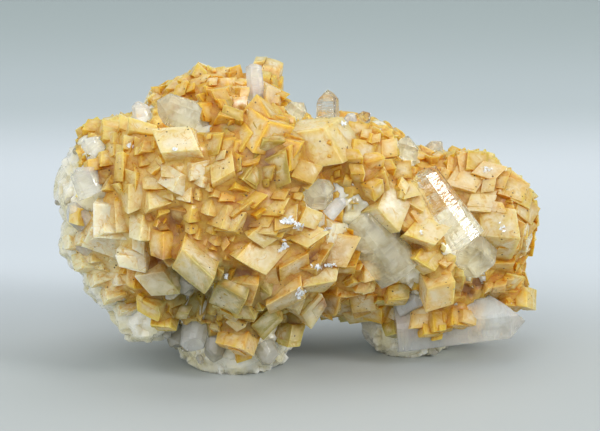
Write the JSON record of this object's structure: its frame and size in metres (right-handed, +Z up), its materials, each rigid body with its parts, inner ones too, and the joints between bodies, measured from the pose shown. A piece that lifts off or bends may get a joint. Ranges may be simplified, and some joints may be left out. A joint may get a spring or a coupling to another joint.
{
  "type": "dolomite on quartz specimen",
  "caption": "Hand-sized mineral specimen: a lump of milky quartz with clear quartz crystals, crusted all over with tan, saddle-edged dolomite rhombs.",
  "frame": {"origin": "on the surface it rests on, under the middle of its box", "axes": "+X along its length, +Z up, -Y towards the side that the picture shows"},
  "size_m": [0.0808, 0.05, 0.0513],
  "materials": {
    "quartz": "clear to milky rock crystal with flat, bright faces",
    "dolomite": "pearly tan carbonate crystals with rusty seams"
  },
  "bodies": {
    "root": {"quartz": "quartz", "dolomite_crust": "dolomite"}
  },
  "joints": []
}
